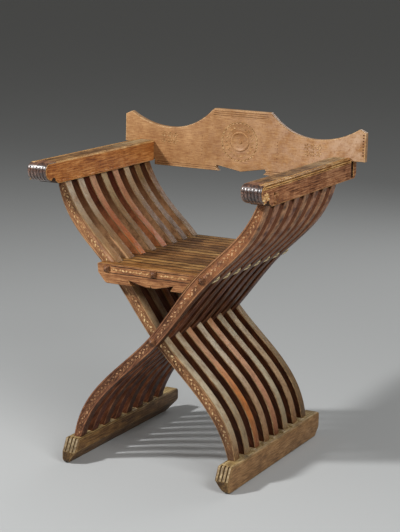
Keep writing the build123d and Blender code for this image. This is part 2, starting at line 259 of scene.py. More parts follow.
edges_left = [
    walnut(
        f"left_{name}", "#4A2E1A", "#8A6040", "#B88C60", LEFT_GRAIN, 0.42, 2.6,
        ("Z", [(height, tone, 0.92) for height, tone in zip(EDGE_HEIGHTS, tones)]), EVEN, 0.15,
    )
    for name, tones in EDGE_TONES_AND_SHEEN.items()
]
# The right frame's edges face down and away from the lamps: their wood is painted dark as painted
# shade under the seat, and paler above the seat as painted light, where the lamps reach them.
edges_right = [
    walnut(
        "right_brown_walnut", "#24120A", "#4C2C1C", "#704A32", RIGHT_GRAIN, 0.46, 2.0,
        tint("Z", "#D49C70", ABOVE_THE_SEAT), PATCHY, 0.2,
    ),
    walnut(
        "right_red_walnut", "#28100A", "#52291B", "#744632", RIGHT_GRAIN, 0.46, 2.0,
        tint("Z", "#CC9470", ABOVE_THE_SEAT), PATCHY, 0.2,
    ),
]
# Flat sides of the staves, seen in the gaps between them: redder wood, painted very dark as painted
# shade in the gaps, and painted paler beside the seat as painted light where the lamps reach in.
SIDE_HEIGHTS = (0.06, 0.3, 0.45, 0.48, 0.55, 0.62, 0.66)
SIDE_AMOUNTS = (0.8, 0.6, 0.2, 1.0, 0.9, 0.5, 0.8)
SIDE_SHADE_AND_LIGHT_TONES = {
    "brown": ("#1C0E07", "#24120A", "#5A2B11", "#D8AA7C", "#C8986C", "#75492C", "#22140C"),
    "red": ("#220C06", "#2C100A", "#5A2B11", "#DC8E58", "#BC744C", "#702E1E", "#400E08"),
}
sides_left = {
    name: walnut(
        f"left_{name}_side_walnut", "#2A1206", "#4E260F", "#6E3E20", LEFT_GRAIN, 0.5, 2.2,
        ("Z", list(zip(SIDE_HEIGHTS, tones, SIDE_AMOUNTS))), EVEN, 0.15,
    )
    for name, tones in SIDE_SHADE_AND_LIGHT_TONES.items()
}
sides_right = walnut(
    "red_brown_walnut_right", "#200C04", "#40200F", "#5E3620", RIGHT_GRAIN, 0.5, 2.2,
    tint("Z", "#5C3A28", ABOVE_THE_SEAT), EVEN, 0.15,
)
# Front staves: a worn border round the sunk, darker ground of the carving.
DARK_AT_THE_FOOT = tint("Z", "#4A3220", [(0.06, 1.0), (0.13, 0.8), (0.19, 0.0)])
RUBBED_UPWARDS = [(0.34, 0.0), (0.44, 0.9), (0.65, 0.8)]
border_left = walnut(
    "carved_border_left", "#50311A", "#8A6140", "#B28A60", LEFT_GRAIN, 0.45, 1.6,
    DARK_AT_THE_FOOT, EVEN,
)
border_right = walnut(
    "carved_border_right", "#4A2A1A", "#83543A", "#AE7E54", RIGHT_GRAIN, 0.45, 2.4,
    tint("Z", "#AE7C52", RUBBED_UPWARDS),
)
ground_left = walnut(
    "carving_ground_left", "#422711", "#7E5434", "#AA7C52", LEFT_GRAIN, 0.55, 1.6,
    DARK_AT_THE_FOOT, EVEN,
)
ground_right = walnut(
    "carving_ground_right", "#341C10", "#6A432C", "#966344", RIGHT_GRAIN, 0.55, 1.6,
    tint("Z", "#A2683E", RUBBED_UPWARDS),
)
# Arris wear: corners rubbed through the stain to the paler wood.
worn_left = walnut("rubbed_arris_left", "#5E4226", "#8A6C48", "#AC8E68", LEFT_GRAIN, 0.45)
worn_right = walnut(
    "rubbed_arris_right", "#3E2414", "#663F28", "#8A5E40", RIGHT_GRAIN, 0.45, 2.6,
    tint("Z", "#A87C58", ABOVE_THE_SEAT),
)
# Arms: polished by hands, orange on the inner side and browner on top, with golden rubbed edges
# that also carry a painted highlight along the arris, dirt in the incised lines, and noses that
# shellac and palms made dark and glossy.
arm_inner_wood = walnut(
    "polished_arm_walnut", "#7A4220", "#B47036", "#DA9C5C", ALONG_DEPTH, 0.4, 2.8, wax=0.4
)
arm_outer_wood = walnut(
    "arm_side_walnut", "#50290F", "#98603A", "#CC9468", ALONG_DEPTH, 0.46, 2.8, wax=0.3
)
# Towards the back, by the board, the top is painted pale cream: a painted highlight.
arm_top_wood = walnut(
    "arm_top_walnut", "#32200E", "#74502C", "#AC8352", ALONG_DEPTH, 0.46, 3.0,
    tint("Y", "#DCC698", [(0.02, 0.0), (0.17, 0.6), (0.235, 1.0), (0.26, 0.4)]), PATCHY, 0.3,
)
arm_edge_wood = walnut(
    "rubbed_and_highlit_arm_arris", "#8E5E30", "#CE9A5C", "#F2CA8C", ALONG_DEPTH, 0.55, 1.8, wax=0.15
)
arm_line_wood = walnut(
    "arm_line_walnut", "#341C0C", "#5A3618", "#7E5230", ALONG_DEPTH, 0.6, wax=0.1
)
nose_wood = walnut(
    "french_polished_nose", "#1C100B", "#4A2F23", "#8E6854", ALONG_DEPTH, 0.36, 3.0,
    wax=0.8, coat=1.0,
)
brow_wood = walnut(
    "handled_brow_walnut", "#3C2015", "#6E4630", "#A67A58", ALONG_DEPTH, 0.4, 3.0, wax=0.5
)
# Foot rails: floor wear, olive grey, with paler toes and a dusty top.
foot_wood = walnut("foot_walnut", "#66462A", "#8E683F", "#B68C5E", ALONG_DEPTH, 0.52, 1.7)
# The left rail stands in the chair's shade: it gets darker copies of the plank and toe woods, as
# painted shade.
painted_shade_foot_wood = walnut(
    "painted_shade_foot_walnut", "#3C2814", "#6A4A2A", "#94703F", ALONG_DEPTH, 0.52, 2.2
)
foot_top_wood = walnut("dusty_foot_walnut", "#5C4426", "#947A4C", "#C8B080", ALONG_DEPTH, 0.6, 3.0)
foot_edge_wood = walnut("rubbed_foot_arris", "#60482A", "#8C7044", "#B09668", ALONG_DEPTH, 0.5)
toe_wood = walnut("scuffed_toe_walnut", "#5C4828", "#8E7650", "#B8A47C", ALONG_DEPTH, 0.5, 5.0)
painted_shade_toe_wood = walnut(
    "painted_shade_scuffed_toe_walnut", "#40301A", "#6C5838", "#96825C", ALONG_DEPTH, 0.5, 5.0
)
toe_front_wood = walnut("dark_toe_walnut", "#2C1D0D", "#543D22", "#806239", ALONG_DEPTH, 0.5)
# Seat: yellow brown in three lots of wood, streaked by the rub of cushions.
seat_woods = [
    walnut("seat_walnut", "#40240C", "#845628", "#BC8C52", ALONG_WIDTH, 0.42, 1.8),
    walnut("dark_seat_walnut", "#3A220E", "#744C26", "#A87C46", ALONG_WIDTH, 0.42, 1.8),
    walnut("pale_seat_walnut", "#4E3214", "#946836", "#CCA264", ALONG_WIDTH, 0.42, 1.8),
]
seat_edge_wood = walnut("dark_seat_arris", "#2A190B", "#4A321A", "#6E4E2C", ALONG_WIDTH, 0.5)
slat_end_wood = walnut("slat_end_grain", "#CCB07A", "#F0D8A2", "#FFF0C8", ALONG_DEPTH, 0.55)
apron_wood = walnut("apron_walnut", "#5A311A", "#90603A", "#B88458", ALONG_WIDTH, 0.46, 2.0)
apron_edge_wood = walnut("rubbed_apron_arris", "#7A5028", "#B08250", "#D4AC78", ALONG_WIDTH, 0.42)
# Back board: a lighter plank, waxed and worn to a mottled gold brown.
board_wood = walnut(
    "back_board_walnut", "#805330", "#9C7147", "#B58B5E", ALONG_WIDTH, 0.48, 1.3,
    tint("X", "#BC9C80", [(-0.2, 0.0), (0.05, 0.35), (0.3, 1.0)]),
)
board_edge_wood = walnut("rubbed_board_arris", "#A87A4A", "#CCA270", "#ECCC9C", ALONG_WIDTH, 0.48)
board_groove_wood = walnut("board_groove_walnut", "#4E3018", "#6E4A2A", "#8C6440", ALONG_WIDTH, 0.6)
# Rod heads, the light wood that worn carving shows, and the dust in its grooves, whose dark wood
# also serves as painted shade in the arms' slots and throats.
head_wood = walnut("rod_head_walnut", "#2E170C", "#5C3820", "#865A38", ALONG_DEPTH, 0.34)
cut_right = walnut(
    "worn_carving_right", "#5A3820", "#946A46", "#DCB084", RIGHT_GRAIN, 0.4, 4.0,
    tint("Z", "#D8AC7C", RUBBED_UPWARDS),
)
cut_left = walnut(
    "worn_carving_left", "#704C2E", "#B0865A", "#E8CC98", LEFT_GRAIN, 0.42, 4.0,
    DARK_AT_THE_FOOT, EVEN,
)
cut_apron = walnut("worn_carving_apron", "#6A4022", "#A87848", "#E0BC88", ALONG_DEPTH, 0.4, 4.0)
cut_arm = walnut("worn_carving_arm", "#8A5E34", "#D2A468", "#F8DCA8", ALONG_DEPTH, 0.4, 4.0)
scroll_wood = walnut("arm_scroll_walnut", "#5A341A", "#9C6A40", "#D0A070", ALONG_DEPTH, 0.42, 4.0)
board_cut_wood = walnut(
    "board_carving_walnut", "#7E5A3A", "#AE8658", "#D8B88C", ALONG_WIDTH, 0.4, 3.0
)
groove_wood = walnut("groove_dust_and_shade_walnut", "#22130A", "#3A2412", "#5A3C22", ALONG_WIDTH, 0.7)


# ---------------------------------------------------------------- mesh helpers
def only(piece):
    """Deselects everything, then selects one piece and makes it active."""
    bpy.ops.object.select_all(action="DESELECT")
    piece.select_set(True)
    bpy.context.view_layer.objects.active = piece


def edit(piece, steps):
    """Runs edit-mode steps on one piece, with all of its mesh selected at first."""
    only(piece)
    bpy.ops.object.mode_set(mode="EDIT")
    bpy.ops.mesh.select_all(action="SELECT")
    steps()
    bpy.ops.object.mode_set(mode="OBJECT")


def joined_faces():
    """Makes one shell and whole flat faces of loose triangles."""
    bpy.ops.mesh.remove_doubles(threshold=mm(0.002))
    bpy.ops.mesh.dissolve_limited(angle_limit=math.radians(0.2))


def copy_of(node, name):
    """A CAD node's mesh as a new piece, its loose triangles merged and its flat faces joined."""
    piece = bpy.data.objects.new(name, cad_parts[node].data.copy())
    bpy.context.scene.collection.objects.link(piece)
    piece.data.materials.clear()
    edit(piece, joined_faces)
    return piece


def modify(piece, kind, **settings):
    """Adds a modifier and applies it."""
    only(piece)
    modifier = piece.modifiers.new(kind.lower(), kind)
    for name, value in settings.items():
        setattr(modifier, name, value)
    bpy.ops.object.modifier_apply(modifier=modifier.name)


def slot_of(piece, wood):
    """The number of the piece's material slot that holds a wood."""
    return piece.data.materials.find(wood.name)


def soften(piece, width, wood):
    """Rounds every sharp edge by a width in mm, with a worn wood on the round."""
    modify(
        piece,
        "BEVEL",
        width=mm(width),
        segments=2,
        limit_method="ANGLE",
        angle_limit=math.radians(35),
        use_clamp_overlap=False,
        material=slot_of(piece, wood),
    )
    only(piece)
    bpy.ops.object.shade_smooth_by_angle(angle=math.radians(28))


def sliced(place, normal, **settings):
    """Steps for edit() that cut the mesh along a plane, and take a side off if settings say so."""

    def steps():
        bpy.ops.mesh.bisect(plane_co=place, plane_no=normal, **settings)

    return steps


def slivers_gone():
    """Closes the zero-width faces that a narrow bevel or a cut along an edge can leave."""
    bpy.ops.mesh.dissolve_degenerate(threshold=mm(0.0001))


def tip_joined():
    """Makes one point of the tiny ring that a bevel leaves at the tip of a pyramid."""
    bpy.ops.mesh.remove_doubles(threshold=mm(0.02))


def pick(piece, test):
    """Goes to edit mode with just the faces selected that test(centre, normal) is true for."""
    only(piece)
    bpy.ops.object.mode_set(mode="EDIT")
    bpy.ops.mesh.select_mode(type="FACE")
    bpy.ops.mesh.select_all(action="DESELECT")
    bpy.ops.object.mode_set(mode="OBJECT")
    for face in piece.data.polygons:
        face.select = test(face.center, face.normal)
    bpy.ops.object.mode_set(mode="EDIT")


def sink(piece, test, border, slope, depth):
    """Leaves a border round the picked faces and lowers the ground inside it.  An even offset would
    throw the points of sharp corners far out, so the insets do without it."""
    pick(piece, test)
    bpy.ops.mesh.inset(thickness=mm(border), use_even_offset=False)
    bpy.ops.mesh.inset(thickness=mm(slope), depth=-mm(depth), use_even_offset=False)
    bpy.ops.object.mode_set(mode="OBJECT")


def round_top(piece, width, wood):
    """Rounds the rim of the top face, where use and cleaning wore it."""
    top = max(vertex.co.z for vertex in piece.data.vertices)
    pick(piece, lambda c, n: n.z > 0.99 and c.z > top - mm(0.1))
    bpy.ops.mesh.region_to_loop()
    bpy.ops.mesh.bevel(
        offset=mm(width), segments=3, affect="EDGES", material=slot_of(piece, wood)
    )
    bpy.ops.object.mode_set(mode="OBJECT")


def paint(piece, woods, choose):
    """Gives a piece its woods, and each face the one that choose(centre, normal) returns."""
    piece.data.materials.clear()
    for wood in woods:
        piece.data.materials.append(wood)
    for face in piece.data.polygons:
        face.material_index = slot_of(piece, choose(face.center, face.normal))


def repaint(piece, wood, test):
    """Gives a wood to the faces that test(centre, normal) is true for."""
    slot = slot_of(piece, wood)
    for face in piece.data.polygons:
        if test(face.center, face.normal):
            face.material_index = slot


def joined(pieces):
    """The first of the pieces, with the others joined to it."""
    bpy.ops.object.select_all(action="DESELECT")
    for piece in pieces:
        piece.select_set(True)
    bpy.context.view_layer.objects.active = pieces[0]
    bpy.ops.object.join()
    return pieces[0]


def cut(piece, cutters):
    """Takes each cutter out of a piece and removes the cutters."""
    for cutter in cutters:
        modify(piece, "BOOLEAN", operation="DIFFERENCE", solver="MANIFOLD", object=cutter)
        bpy.data.objects.remove(cutter)


def gouge(start, end, radius):
    """A four-sided bar from start to end, for cutting a V groove whose sides slope 45 degrees."""
    start, end = Vector(start), Vector(end)
    run = end - start
    turn = run.to_track_quat("Z", "Y").to_euler()
    bpy.ops.object.select_all(action="DESELECT")
    bpy.ops.mesh.primitive_cylinder_add(
        vertices=4, radius=mm(radius), depth=run.length, location=(start + end) / 2, rotation=turn
    )
    bar = bpy.context.active_object
    bpy.ops.object.transform_apply()
    return bar


# ---------------------------------------------------------------- carved motifs
def carved_leaf(length, width, height):
    """One gouged leaf lying along X, its back 0.2 mm behind y = 0 and its top towards -Y."""
    bpy.ops.object.select_all(action="DESELECT")
    bpy.ops.mesh.primitive_cylinder_add(
        vertices=8,
        radius=0.5,
        depth=1,
        location=(0, -mm(height / 2 - 0.2), 0),
        rotation=(math.radians(90), 0, 0),
        scale=(mm(length), mm(width), mm(height)),
    )
    leaf = bpy.context.active_object
    bpy.ops.object.transform_apply()
    pick(leaf, lambda c, n: n.y < -0.9)
    bpy.ops.transform.resize(value=(0.72, 1, 0.66))
    bpy.ops.mesh.inset(thickness=mm(width * 0.12), depth=-mm(height * 0.4))
    bpy.ops.object.mode_set(mode="OBJECT")
    return leaf


def scattered(motif, name, places, outwards=Matrix.Identity(4)):
    """Copies of a motif joined into one piece: each has its own place, turn about Y and size.
    outwards then turns each, for carving that doesn't face the front."""
    copies = []
    for place, turn, size in places:
        twin = bpy.data.objects.new(name, motif.data.copy())
        bpy.context.scene.collection.objects.link(twin)
        twin.data.transform(
            Matrix.Translation(place)
            @ outwards
            @ Matrix.Rotation(turn, 4, "Y")
            @ Matrix.Diagonal((size, 1, size, 1))
        )
        copies.append(twin)
    return joined(copies)


def finish_piece(piece, body, slot, *nodes):
    """Says which body a piece rides on and the nodes it replaces; slot, the name of its finish, is
    not used.
    """
    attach(piece, body)
    if nodes:
        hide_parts(*nodes)


def moved_copy(piece, name, shift):
    """Another piece of the same shape with its own mesh, shifted."""
    twin = bpy.data.objects.new(name, piece.data.copy())
    bpy.context.scene.collection.objects.link(twin)
    twin.data.transform(Matrix.Translation(shift))
    return twin


# ---------------------------------------------------------------- staves
LAYER = mm(27.5)
STAVE_COUNT = 8
STACK_FRONT = mm(-211)
RED_STAVES = (3, 5)  # of the left frame


def make_staves(side):
    """All staves of one frame: the second is softened, and the rest are copies of it, each two
    layers from the next."""
    first = copy_of(f"{side}_stave_2", f"{side}_stave_model")
    flats = sides_right if side == "right" else sides_left["brown"]
    worn = worn_right if side == "right" else worn_left
    edges = edges_right if side == "right" else edges_left
    paint(first, [flats, edges[0], worn], lambda c, n: flats if abs(n.y) > 0.7 else edges[0])
    soften(first, 1.6, worn)
    staves = []
    for number in range(1, STAVE_COUNT + 1):
        shift = Vector((0, (number - 2) * 2 * LAYER, 0))
        stave = moved_copy(first, f"{side}_stave_{number}_wood", shift)
        stave.data.materials[slot_of(stave, edges[0])] = edges[(number - 1) % len(edges)]
        if side == "left" and number in RED_STAVES:
            stave.data.materials[slot_of(stave, flats)] = sides_left["red"]
        finish_piece(stave, f"{side}_frame", "walnut_stave", f"{side}_stave_{number}")
        staves.append(stave)
    bpy.data.objects.remove(first)
    return staves


right_staves = make_staves("right")
left_staves = make_staves("left")

# Carving of the two front staves: a sunk ground with a running vine of leaves and seeds.  The vine
# keeps clear of the rod heads, and its leaves come in a few sizes, as a carver's gouges do.
CROSSING = Vector((0, 0, mm(318.5)))
SEAT_ROD_HEIGHT = mm(477)
SEAT_HALF = mm(121.7)
GROUND_DEPTH = 0.9
VINE_PITCH = mm(7.0)
HEAD_CLEARANCE = mm(14.5)
VINE_SIZES = (1.0, 0.72, 0.9, 0.6, 0.82)
LEAF_LEAN = math.radians(38)
leaf_model = carved_leaf(9.4, 4.8, 1.0)
seed_model = carved_leaf(2.6, 2.6, 0.9)


def stave_middles(stave, depth):
    """Middle points of a stave from foot to arm at a depth y, each with its half width along X."""
    points = []
    bpy.context.view_layer.update()
    for height in range(66, 662, 4):
        z = mm(height)
        found_low, low, _, _ = stave.ray_cast((-1, depth, z), (1, 0, 0))
        found_high, high, _, _ = stave.ray_cast((1, depth, z), (-1, 0, 0))
        if found_low and found_high:
            points.append((Vector(((low.x + high.x) / 2, 0, z)), (high.x - low.x) / 2))
    return points


def vine(stave, front, rods):
    """Places for the leaves and seeds of a stave's vine, clear of the rod heads."""
    leaves, seeds = [], []
    middles = stave_middles(stave, front + LAYER / 2)
    travelled, wanted, count = 0.0, 0.0, 0
    for (here, half), (after, _) in zip(middles, middles[1:]):
        along = after - here
        while wanted <= travelled + along.length:
            spot = here + along * ((wanted - travelled) / along.length)
            wanted += VINE_PITCH
            count += 1
            if min((spot - rod).length for rod in rods) < HEAD_CLEARANCE:
                continue
            run = math.atan2(along.z, along.x)
            room = 2 * half * math.sin(run) - mm(9.5)
            size = min(1.0, room / mm(15)) * VINE_SIZES[count % len(VINE_SIZES)]
            side_step = 1 if count % 2 else -1
            normal = Vector((-math.sin(run), 0, math.cos(run)))
            place = spot + normal * side_step * mm(2.9) * size
            place.y = front + mm(GROUND_DEPTH)
            leaves.append((place, -(run - side_step * LEAF_LEAN), size))
            if count % 3 == 0:
                seed = spot - normal * side_step * mm(4.6) * size
                seed.y = place.y
                seeds.append((seed, -run, size))
        travelled += along.length
    return leaves, seeds


def carve_front(side, stave, front, rods, border, ground):
    """Carves the flat front of a front stave."""
    stave.data.materials.append(border)
    stave.data.materials.append(ground)

    def on_front(centre, normal):
        return normal.y < -0.99 and centre.y < front + mm(0.1)

    def on_ground(centre, normal):
        return normal.y < -0.99 and abs(centre.y - front - mm(GROUND_DEPTH)) < mm(0.1)

    sink(stave, on_front, 2.0, 0.7, GROUND_DEPTH)
    repaint(stave, border, on_front)
    repaint(stave, ground, on_ground)
    leaves, seeds = vine(stave, front, rods)
    for motif, places, kind in ((leaf_model, leaves, "leaves"), (seed_model, seeds, "seeds")):
        carving = scattered(motif, f"{side}_stave_{kind}", places)
        carving.data.materials.append(cut_right if side == "right" else cut_left)
        finish_piece(carving, f"{side}_frame", "walnut_stave")


RIGHT_FRONT = mm(-210.8)
LEFT_FRONT = RIGHT_FRONT + LAYER
right_rod = Vector((SEAT_HALF, 0, SEAT_ROD_HEIGHT))
left_rod = Vector((-SEAT_HALF, 0, SEAT_ROD_HEIGHT))
carve_front(
    "right", right_staves[0], RIGHT_FRONT, (CROSSING, right_rod), border_right, ground_right
)
carve_front("left", left_staves[0], LEFT_FRONT, (CROSSING, left_rod), border_left, ground_left)


# ---------------------------------------------------------------- arms
ARM_INNER = mm(243.5)
ARM_OUTER = mm(293.5)
ARM_TOP = mm(716.5)
NOSE_FRONT = mm(-283)
NOSE_TOP_BACK = NOSE_FRONT + mm(13)
BROW_BACK = NOSE_FRONT + mm(48)
NOSE_UNDER_BACK = NOSE_FRONT + mm(30)
SLOT_FRONT = mm(235)
SLOT_BACK = mm(251.5)
RUBBED = mm(12)  # the strip each side of the upper outer arris that hands rub golden
LINE_SKIN, LINE_DEPTH = mm(0.15), mm(0.9)  # an incised line's walls lie between these depths


def on_nose(centre, normal):
    """True on the nose's rolled front, between its two side faces."""
    back = NOSE_TOP_BACK if centre.z > mm(690) else NOSE_UNDER_BACK
    return centre.y < back and ARM_INNER + mm(0.9) < abs(centre.x) < ARM_OUTER - mm(0.9)


def heel_cutter(sign):
    """Rounds the rear lower corner of an arm, which ends in a short scroll behind the board."""
    bpy.ops.object.select_all(action="DESELECT")
    bpy.ops.mesh.primitive_cube_add(
        size=1,
        location=(sign * mm(268.5), mm(277.5), mm(663)),
        rotation=(math.radians(-38), 0, 0),
        scale=(mm(60), mm(30), mm(60)),
    )
    block = bpy.context.active_object
    bpy.ops.object.transform_apply()
    return block


# Round cuts across an arm as (y, z, radius, from x, to x): the throat behind the nose, which goes
# right through and sets the nose apart as a scroll, and the eyes of the carved scroll behind it.
THROAT = (-247.5, 672.0, 9.0, 240, 297)
EYES = [(-212.0, 690.5, 4.6, 292.2, 297), (-209.5, 671.0, 4.6, 291.4, 297)]
EYE_LIMIT = mm(288)  # no eye is cut deeper into the arm than this
# The throat and the hollow behind it are painted dark: painted shade.
THROAT_SHADE_FRONT, THROAT_SHADE_BACK, THROAT_SHADE_TOP = mm(-258), mm(-224), mm(682)


def drum_cutter(sign, y, z, radius, x1, x2):
    """A round bar across one arm, by distances in mm from the chair's middle."""
    bpy.ops.object.select_all(action="DESELECT")
    bpy.ops.mesh.primitive_cylinder_add(
        vertices=20,
        radius=mm(radius),
        depth=mm(x2 - x1),
        location=(sign * mm((x1 + x2) / 2), mm(y), mm(z)),
        rotation=(0, math.radians(90), 0),
    )
    drum = bpy.context.active_object
    bpy.ops.object.transform_apply()
    return drum


def in_drum(centre, y, z, radius):
    """True inside the round of a drum_cutter()."""
    return math.hypot(centre.y - mm(y), centre.z - mm(z)) < mm(radius + 0.1)


def make_arm(side):
    """An arm: incised lines follow its outer side and its top, and its nose is dark with polish."""
    sign = sign_of(side)
    arm = copy_of(f"{side}_arm", f"{side}_arm_wood")
    edit(arm, sliced((0, NOSE_TOP_BACK, 0), (0, 1, 0)))
    edit(arm, sliced((0, BROW_BACK, 0), (0, 1, 0)))
    edit(arm, sliced((0, 0, ARM_TOP - RUBBED), (0, 0, 1)))
    edit(arm, sliced((sign * (ARM_OUTER - RUBBED), 0, 0), (1, 0, 0)))

    def choose(centre, normal):
        if abs(centre.x) > ARM_OUTER - RUBBED and centre.z > ARM_TOP - RUBBED:
            return arm_edge_wood
        if normal.z > 0.2 and centre.y < BROW_BACK:
            return brow_wood
        # The sloping arris faces get the golden edge wood: rubbed wood with a painted highlight.
        if normal.z > 0.5:
            return arm_top_wood if normal.z > 0.95 else arm_edge_wood
        return arm_inner_wood if normal.x * sign < -0.5 else arm_outer_wood

    woods = [
        arm_inner_wood, arm_outer_wood, arm_top_wood, nose_wood, arm_edge_wood, arm_line_wood,
        groove_wood, brow_wood,
    ]
    paint(arm, woods, choose)
    soften(arm, 1.1, arm_edge_wood)
    repaint(arm, nose_wood, on_nose)
    # Two lines run along the outer side and turn down to the nose, two along the top, and a finer
    # one low on the inner side.
    side_x, inner_x = sign * ARM_OUTER, sign * ARM_INNER
    lines = []
    for drop in (4.5, 9.5):
        front, below = NOSE_FRONT + mm(drop + 5), ARM_TOP - mm(drop + 8)
        run = [
            (side_x, mm(228), ARM_TOP - mm(drop)),
            (side_x, front + mm(9), ARM_TOP - mm(drop)),
            (side_x, front, below),
            (side_x, front + mm(2), mm(680)),
        ]
        lines += [gouge(a, b, 0.9) for a, b in zip(run, run[1:])]
    for inset in (5.5, 10.5):
        x = sign * (ARM_OUTER - mm(inset))
        lines.append(gouge((x, NOSE_TOP_BACK + mm(4), ARM_TOP), (x, mm(228), ARM_TOP), 0.9))
    lines.append(gouge((inner_x, mm(-240), mm(670.5)), (inner_x, mm(228), mm(670.5)), 0.6))
    lines += [heel_cutter(sign)] + [drum_cutter(sign, *drum) for drum in [THROAT] + EYES]
    cut(arm, lines)
    edit(arm, slivers_gone)

    def in_line(centre, normal):
        if not (0.3 < abs(normal.x) < 0.9 and abs(normal.y) < 0.9):
            return False
        from_side, from_top = ARM_OUTER - abs(centre.x), ARM_TOP - centre.z
        return (
            LINE_SKIN < from_side < LINE_DEPTH
            and from_top > mm(2.5)
            or LINE_SKIN < from_top < LINE_DEPTH
            and from_side > mm(2.5)
        )

    def in_slot(centre, normal):
        between = SLOT_FRONT - mm(0.1) < centre.y < SLOT_BACK + mm(0.1)
        return between and centre.z < ARM_TOP - mm(1)

    def in_throat(centre, normal):
        between = THROAT_SHADE_FRONT < centre.y < THROAT_SHADE_BACK and centre.z < THROAT_SHADE_TOP
        return between and abs(normal.x) < 0.5 and normal.z < 0.3

    def in_eye(centre, normal):
        sunk = EYE_LIMIT < centre.x * sign < ARM_OUTER - mm(0.2)
        return sunk and any(in_drum(centre, *eye[:3]) for eye in EYES)

    repaint(arm, arm_line_wood, in_line)
    # The board's slot and the throat behind the nose take the dark groove wood: painted shade.
    repaint(arm, groove_wood, in_slot)
    repaint(arm, groove_wood, in_throat)
    repaint(arm, arm_line_wood, in_eye)
    finish_piece(arm, f"{side}_frame", "walnut_arm", f"{side}_arm")

    # A carved leaf fans out over the side of the nose, and a scroll of smaller ones curls behind
    # it: wood, middle y and z, radius, lean in degrees, and each lobe's direction and size.
    fan = [(8 + 27 * n, 1.35) for n in range(7)] + [(207, 0.8)]
    curl = [(24 + 40 * n, 0.95) for n in range(8)]
    carvings = {
        "leaf": (cut_arm, -257, 681, 11.5, 0, fan),
        "scroll": (scroll_wood, -203, 681.5, 9.5, 55, curl),
    }
    facing = Matrix.Rotation(sign * math.radians(90), 4, "Z")
    for part, (wood, y, z, radius, lean, lobes) in carvings.items():
        places = []
        for degrees, size in lobes:
            turn = math.radians(degrees)
            reach = mm(radius) * min(1.0, size)
            spot = Vector((side_x, mm(y) + math.cos(turn) * reach, mm(z) + math.sin(turn) * reach))
            turn += math.radians(lean)
            places.append((spot, -turn if side == "right" else turn + math.pi, size))
        carving = scattered(lobe_model, f"{side}_arm_{part}", places, facing)
        carving.data.materials.append(wood)
        finish_piece(carving, f"{side}_frame", "walnut_arm")


lobe_model = carved_leaf(12.0, 5.0, 1.2)
make_arm("right")
make_arm("left")


# ---------------------------------------------------------------- foot rails
FOOT_FRONT = mm(-242)
TOE_BACK = FOOT_FRONT + mm(26)
FOOT_INNER, FOOT_OUTER = mm(182), mm(219)
SOLE_INNER = mm(206)  # below it the lower inner edge is planed off, so the sole is narrower


def make_foot(side, body):
    """A foot rail: toes with pale ridges and dark grooves, a dark front below them, a dusty top."""
    sign = sign_of(side)
    foot = copy_of(f"{side}_foot_rail", f"{side}_foot_rail_wood")
    edit(foot, sliced((0, TOE_BACK, 0), (0, 1, 0)))
    planed, slope = (sign * SOLE_INNER, 0, 0), (-0.8 * sign, 0, -0.6)
    edit(foot, sliced(planed, slope, use_fill=True, clear_outer=True))
    # The left rail takes the darker woods: painted shade.
    plank = foot_wood if side == "right" else painted_shade_foot_wood
    toe = toe_wood if side == "right" else painted_shade_toe_wood

    def choose(centre, normal):
        if centre.y < TOE_BACK and abs(normal.x) < 0.7:
            return toe if normal.z > 0.2 else toe_front_wood
        return foot_top_wood if normal.z > 0.9 else plank

    def in_toe_groove(centre, normal):
        inside = FOOT_INNER + mm(2) < abs(centre.x) < FOOT_OUTER - mm(2)
        return inside and centre.y < TOE_BACK and abs(normal.x) > 0.5 and normal.z > -0.3

    woods = [plank, toe, foot_edge_wood, toe_front_wood, foot_top_wood, groove_wood]
    paint(foot, woods, choose)
    soften(foot, 0.9, foot_edge_wood)
    repaint(foot, groove_wood, in_toe_groove)
    finish_piece(foot, body, "walnut_foot", f"{side}_foot_rail")


make_foot("left", "right_frame")
make_foot("right", "left_frame")

# Low wedge-topped tabs left standing between the staves, and small leaves behind the toes.
FOOT_TOP = mm(60)
FOOT_MIDDLE = mm(200.5)


def make_tab_model():
    """A low tab with its sides drawn in and a small ridge on top."""
    bpy.ops.object.select_all(action="DESELECT")
    bpy.ops.mesh.primitive_cube_add(
        size=1, location=(0, 0, mm(1.4)), scale=(mm(33), mm(23), mm(3.6))
    )
    tab = bpy.context.active_object
    bpy.ops.object.transform_apply()
    pick(tab, lambda c, n: n.z > 0.9)
    bpy.ops.transform.resize(value=(0.78, 0.7, 1))
    bpy.ops.mesh.inset(thickness=mm(4), depth=mm(1.0))
    bpy.ops.object.mode_set(mode="OBJECT")
    return tab


tab_model = make_tab_model()
foot_leaf = carved_leaf(9.0, 3.6, 1.2)
UPWARDS = Matrix.Rotation(math.radians(-90), 4, "X")
for side, body, first_layer in (("left", "right_frame", 1), ("right", "left_frame", 2)):
    sign = sign_of(side)
    tabs = []
    for number in range(7):
        y = STACK_FRONT + LAYER * (first_layer + 0.5 + 2 * number)
        place = Vector((sign * FOOT_MIDDLE, y, FOOT_TOP))
        tabs.append(moved_copy(tab_model, f"{side}_foot_tabs", place))
    tabs = joined(tabs)
    tabs.data.materials.append(toe_wood)
    finish_piece(tabs, body, "walnut_foot")
    marks = []
    for step, lean in ((-12, -60), (-6, -80), (0, -90), (6, -100), (12, -120)):
        place = Vector((sign * FOOT_MIDDLE + mm(step), TOE_BACK + mm(7), FOOT_TOP))
        marks.append((place, math.radians(lean), 1.0))
    leaves = scattered(foot_leaf, f"{side}_foot_leaves", marks, UPWARDS)
    leaves.data.materials.append(toe_wood)
    finish_piece(leaves, body, "walnut_foot")


